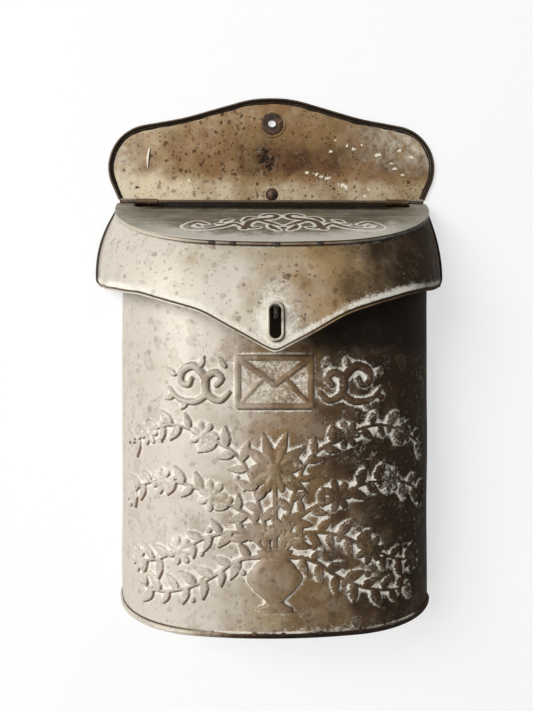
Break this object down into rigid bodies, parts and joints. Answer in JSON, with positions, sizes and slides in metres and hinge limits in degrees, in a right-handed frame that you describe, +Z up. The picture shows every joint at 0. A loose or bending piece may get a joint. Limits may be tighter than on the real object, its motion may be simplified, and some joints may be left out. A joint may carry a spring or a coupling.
{
  "type": "wall mounted mailbox",
  "caption": "Pressed tin wall mailbox with a D-shaped body, crested back plate on a hanging eyelet, and a sloping hinged lid with a pointed skirt and padlock slot.",
  "frame": {"origin": "centre of the hanging eyelet's bore on the wall plane", "axes": "+Z up, +Y into the wall, +X to the right seen from the front"},
  "size_m": [0.2678, 0.11, 0.3803],
  "materials": {
    "tin": "aged zinc with a spotted brown patina",
    "grey_tin": "weathered grey zinc",
    "wire": "dull brown steel wire",
    "dark_iron": "dark rusted iron"
  },
  "bodies": {
    "case": {"back_plate": "tin", "crest_edge_wire": "wire", "hanging_eyelet": "dark_iron", "eyelet_washer": "dark_iron", "crest_rivet": "dark_iron", "body_shell": "tin", "bottom_plate": "tin", "hinge_bracket_left": "tin", "hinge_bracket_right": "tin", "hinge_bracket_rivets": "dark_iron", "hinge_pin": "wire", "padlock_staple": "dark_iron", "staple_plate": "tin"},
    "lid": {"lid_top": "grey_tin", "lid_skirt": "tin", "slot_ferrule": "tin"}
  },
  "joints": [
    {"name": "lid_hinge", "type": "hinge", "parent": "case", "child": "lid", "pos_m": [0, -0.007, -0.062], "axis": [-1, 0, 0], "range_deg": [0, 115]}
  ]
}
